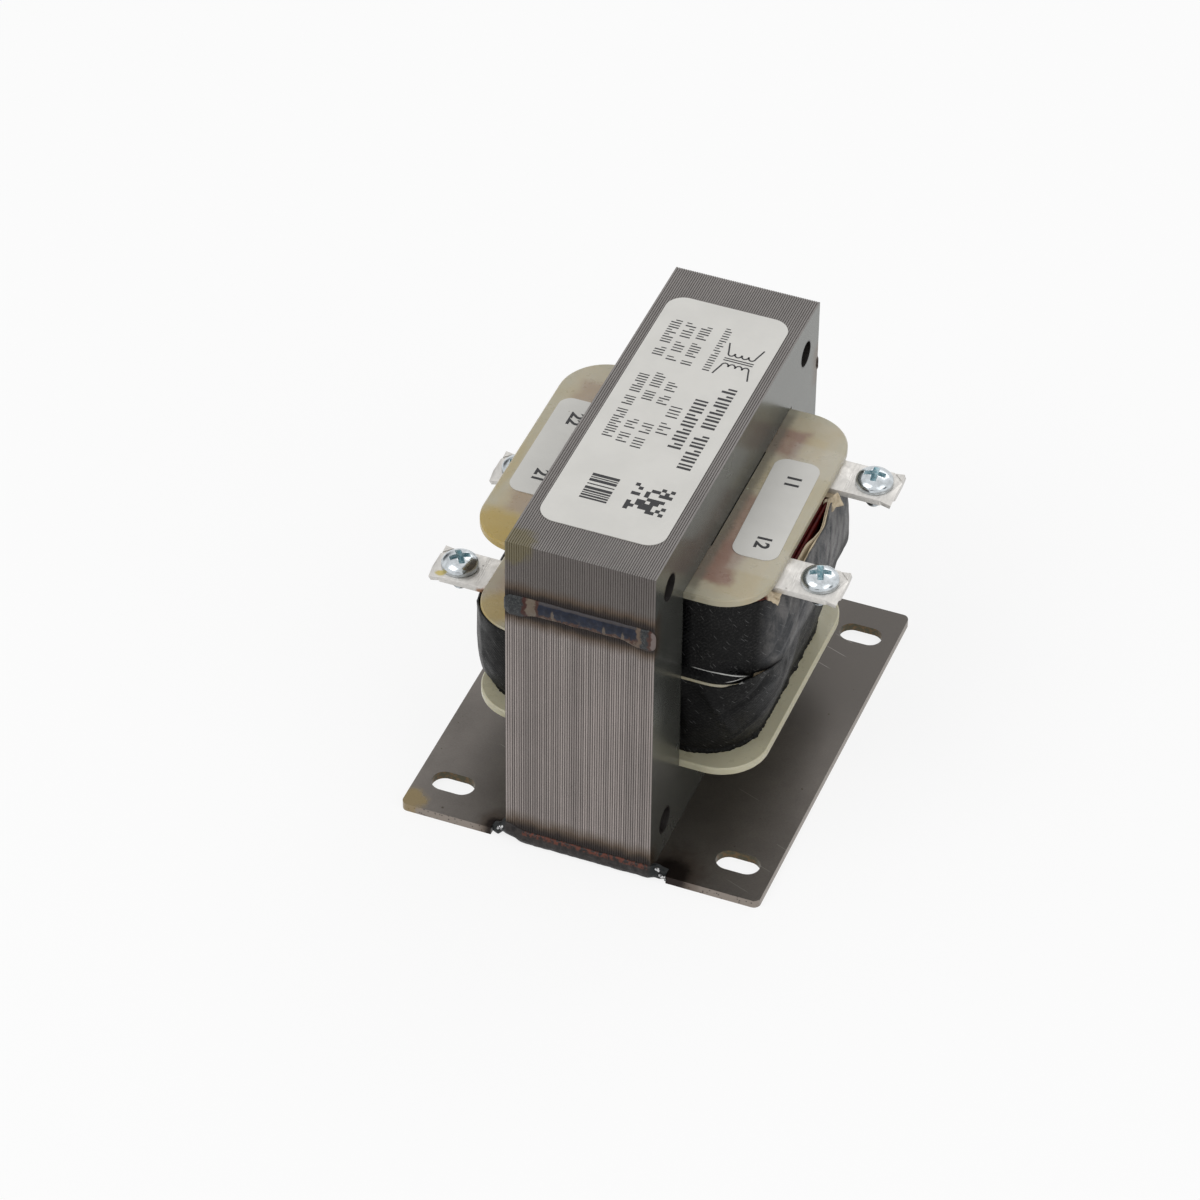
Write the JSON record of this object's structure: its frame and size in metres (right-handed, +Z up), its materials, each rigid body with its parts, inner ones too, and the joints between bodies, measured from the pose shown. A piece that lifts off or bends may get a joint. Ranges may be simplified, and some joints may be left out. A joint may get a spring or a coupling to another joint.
{
  "type": "transformer",
  "caption": "Small chassis transformer: welded laminated steel core on a slotted base plate, with a taped coil on a flanged bobbin and screw terminals.",
  "frame": {"origin": "middle of the base plate's underside", "axes": "+Z up from the plate, Y along the core's length, +X across the stack towards the primary terminals"},
  "size_m": [0.0898, 0.0972, 0.0814],
  "materials": {
    "base_steel": "bare cold-rolled steel",
    "core_steel": "varnished silicon-steel sheets",
    "weld": "heat-tinted weld bead",
    "bobbin_nylon": "natural nylon under varnish",
    "enamelled_wire": "red enamelled copper wire",
    "insulation_paper": "cream insulation paper",
    "black_tape": "varnished black cloth tape",
    "tinned_strap": "tinned brass",
    "zinc_screw": "bright zinc plate",
    "label_stock": "pale grey sticker"
  },
  "bodies": {
    "root": {"base_plate": "base_steel", "e_laminations": "core_steel", "i_laminations": "core_steel", "front_joint_weld": "weld", "rear_joint_weld": "weld", "front_base_weld": "weld", "rear_base_weld": "weld", "bobbin": "bobbin_nylon", "primary_winding": "enamelled_wire", "secondary_winding": "enamelled_wire", "primary_paper_wrap": "insulation_paper", "secondary_paper_wrap": "insulation_paper", "primary_tape_wrap": "black_tape", "secondary_tape_wrap": "black_tape", "front_lead_paper": "insulation_paper", "rear_lead_paper": "insulation_paper", "rating_label": "label_stock", "primary_label": "label_stock", "secondary_label": "label_stock", "primary_front_terminal": "tinned_strap", "primary_front_screw": "zinc_screw", "primary_front_lead": "enamelled_wire", "primary_rear_terminal": "tinned_strap", "primary_rear_screw": "zinc_screw", "primary_rear_lead": "enamelled_wire", "secondary_front_terminal": "tinned_strap", "secondary_front_screw": "zinc_screw", "secondary_front_lead": "enamelled_wire", "secondary_rear_terminal": "tinned_strap", "secondary_rear_screw": "zinc_screw", "secondary_rear_lead": "enamelled_wire"}
  },
  "joints": []
}
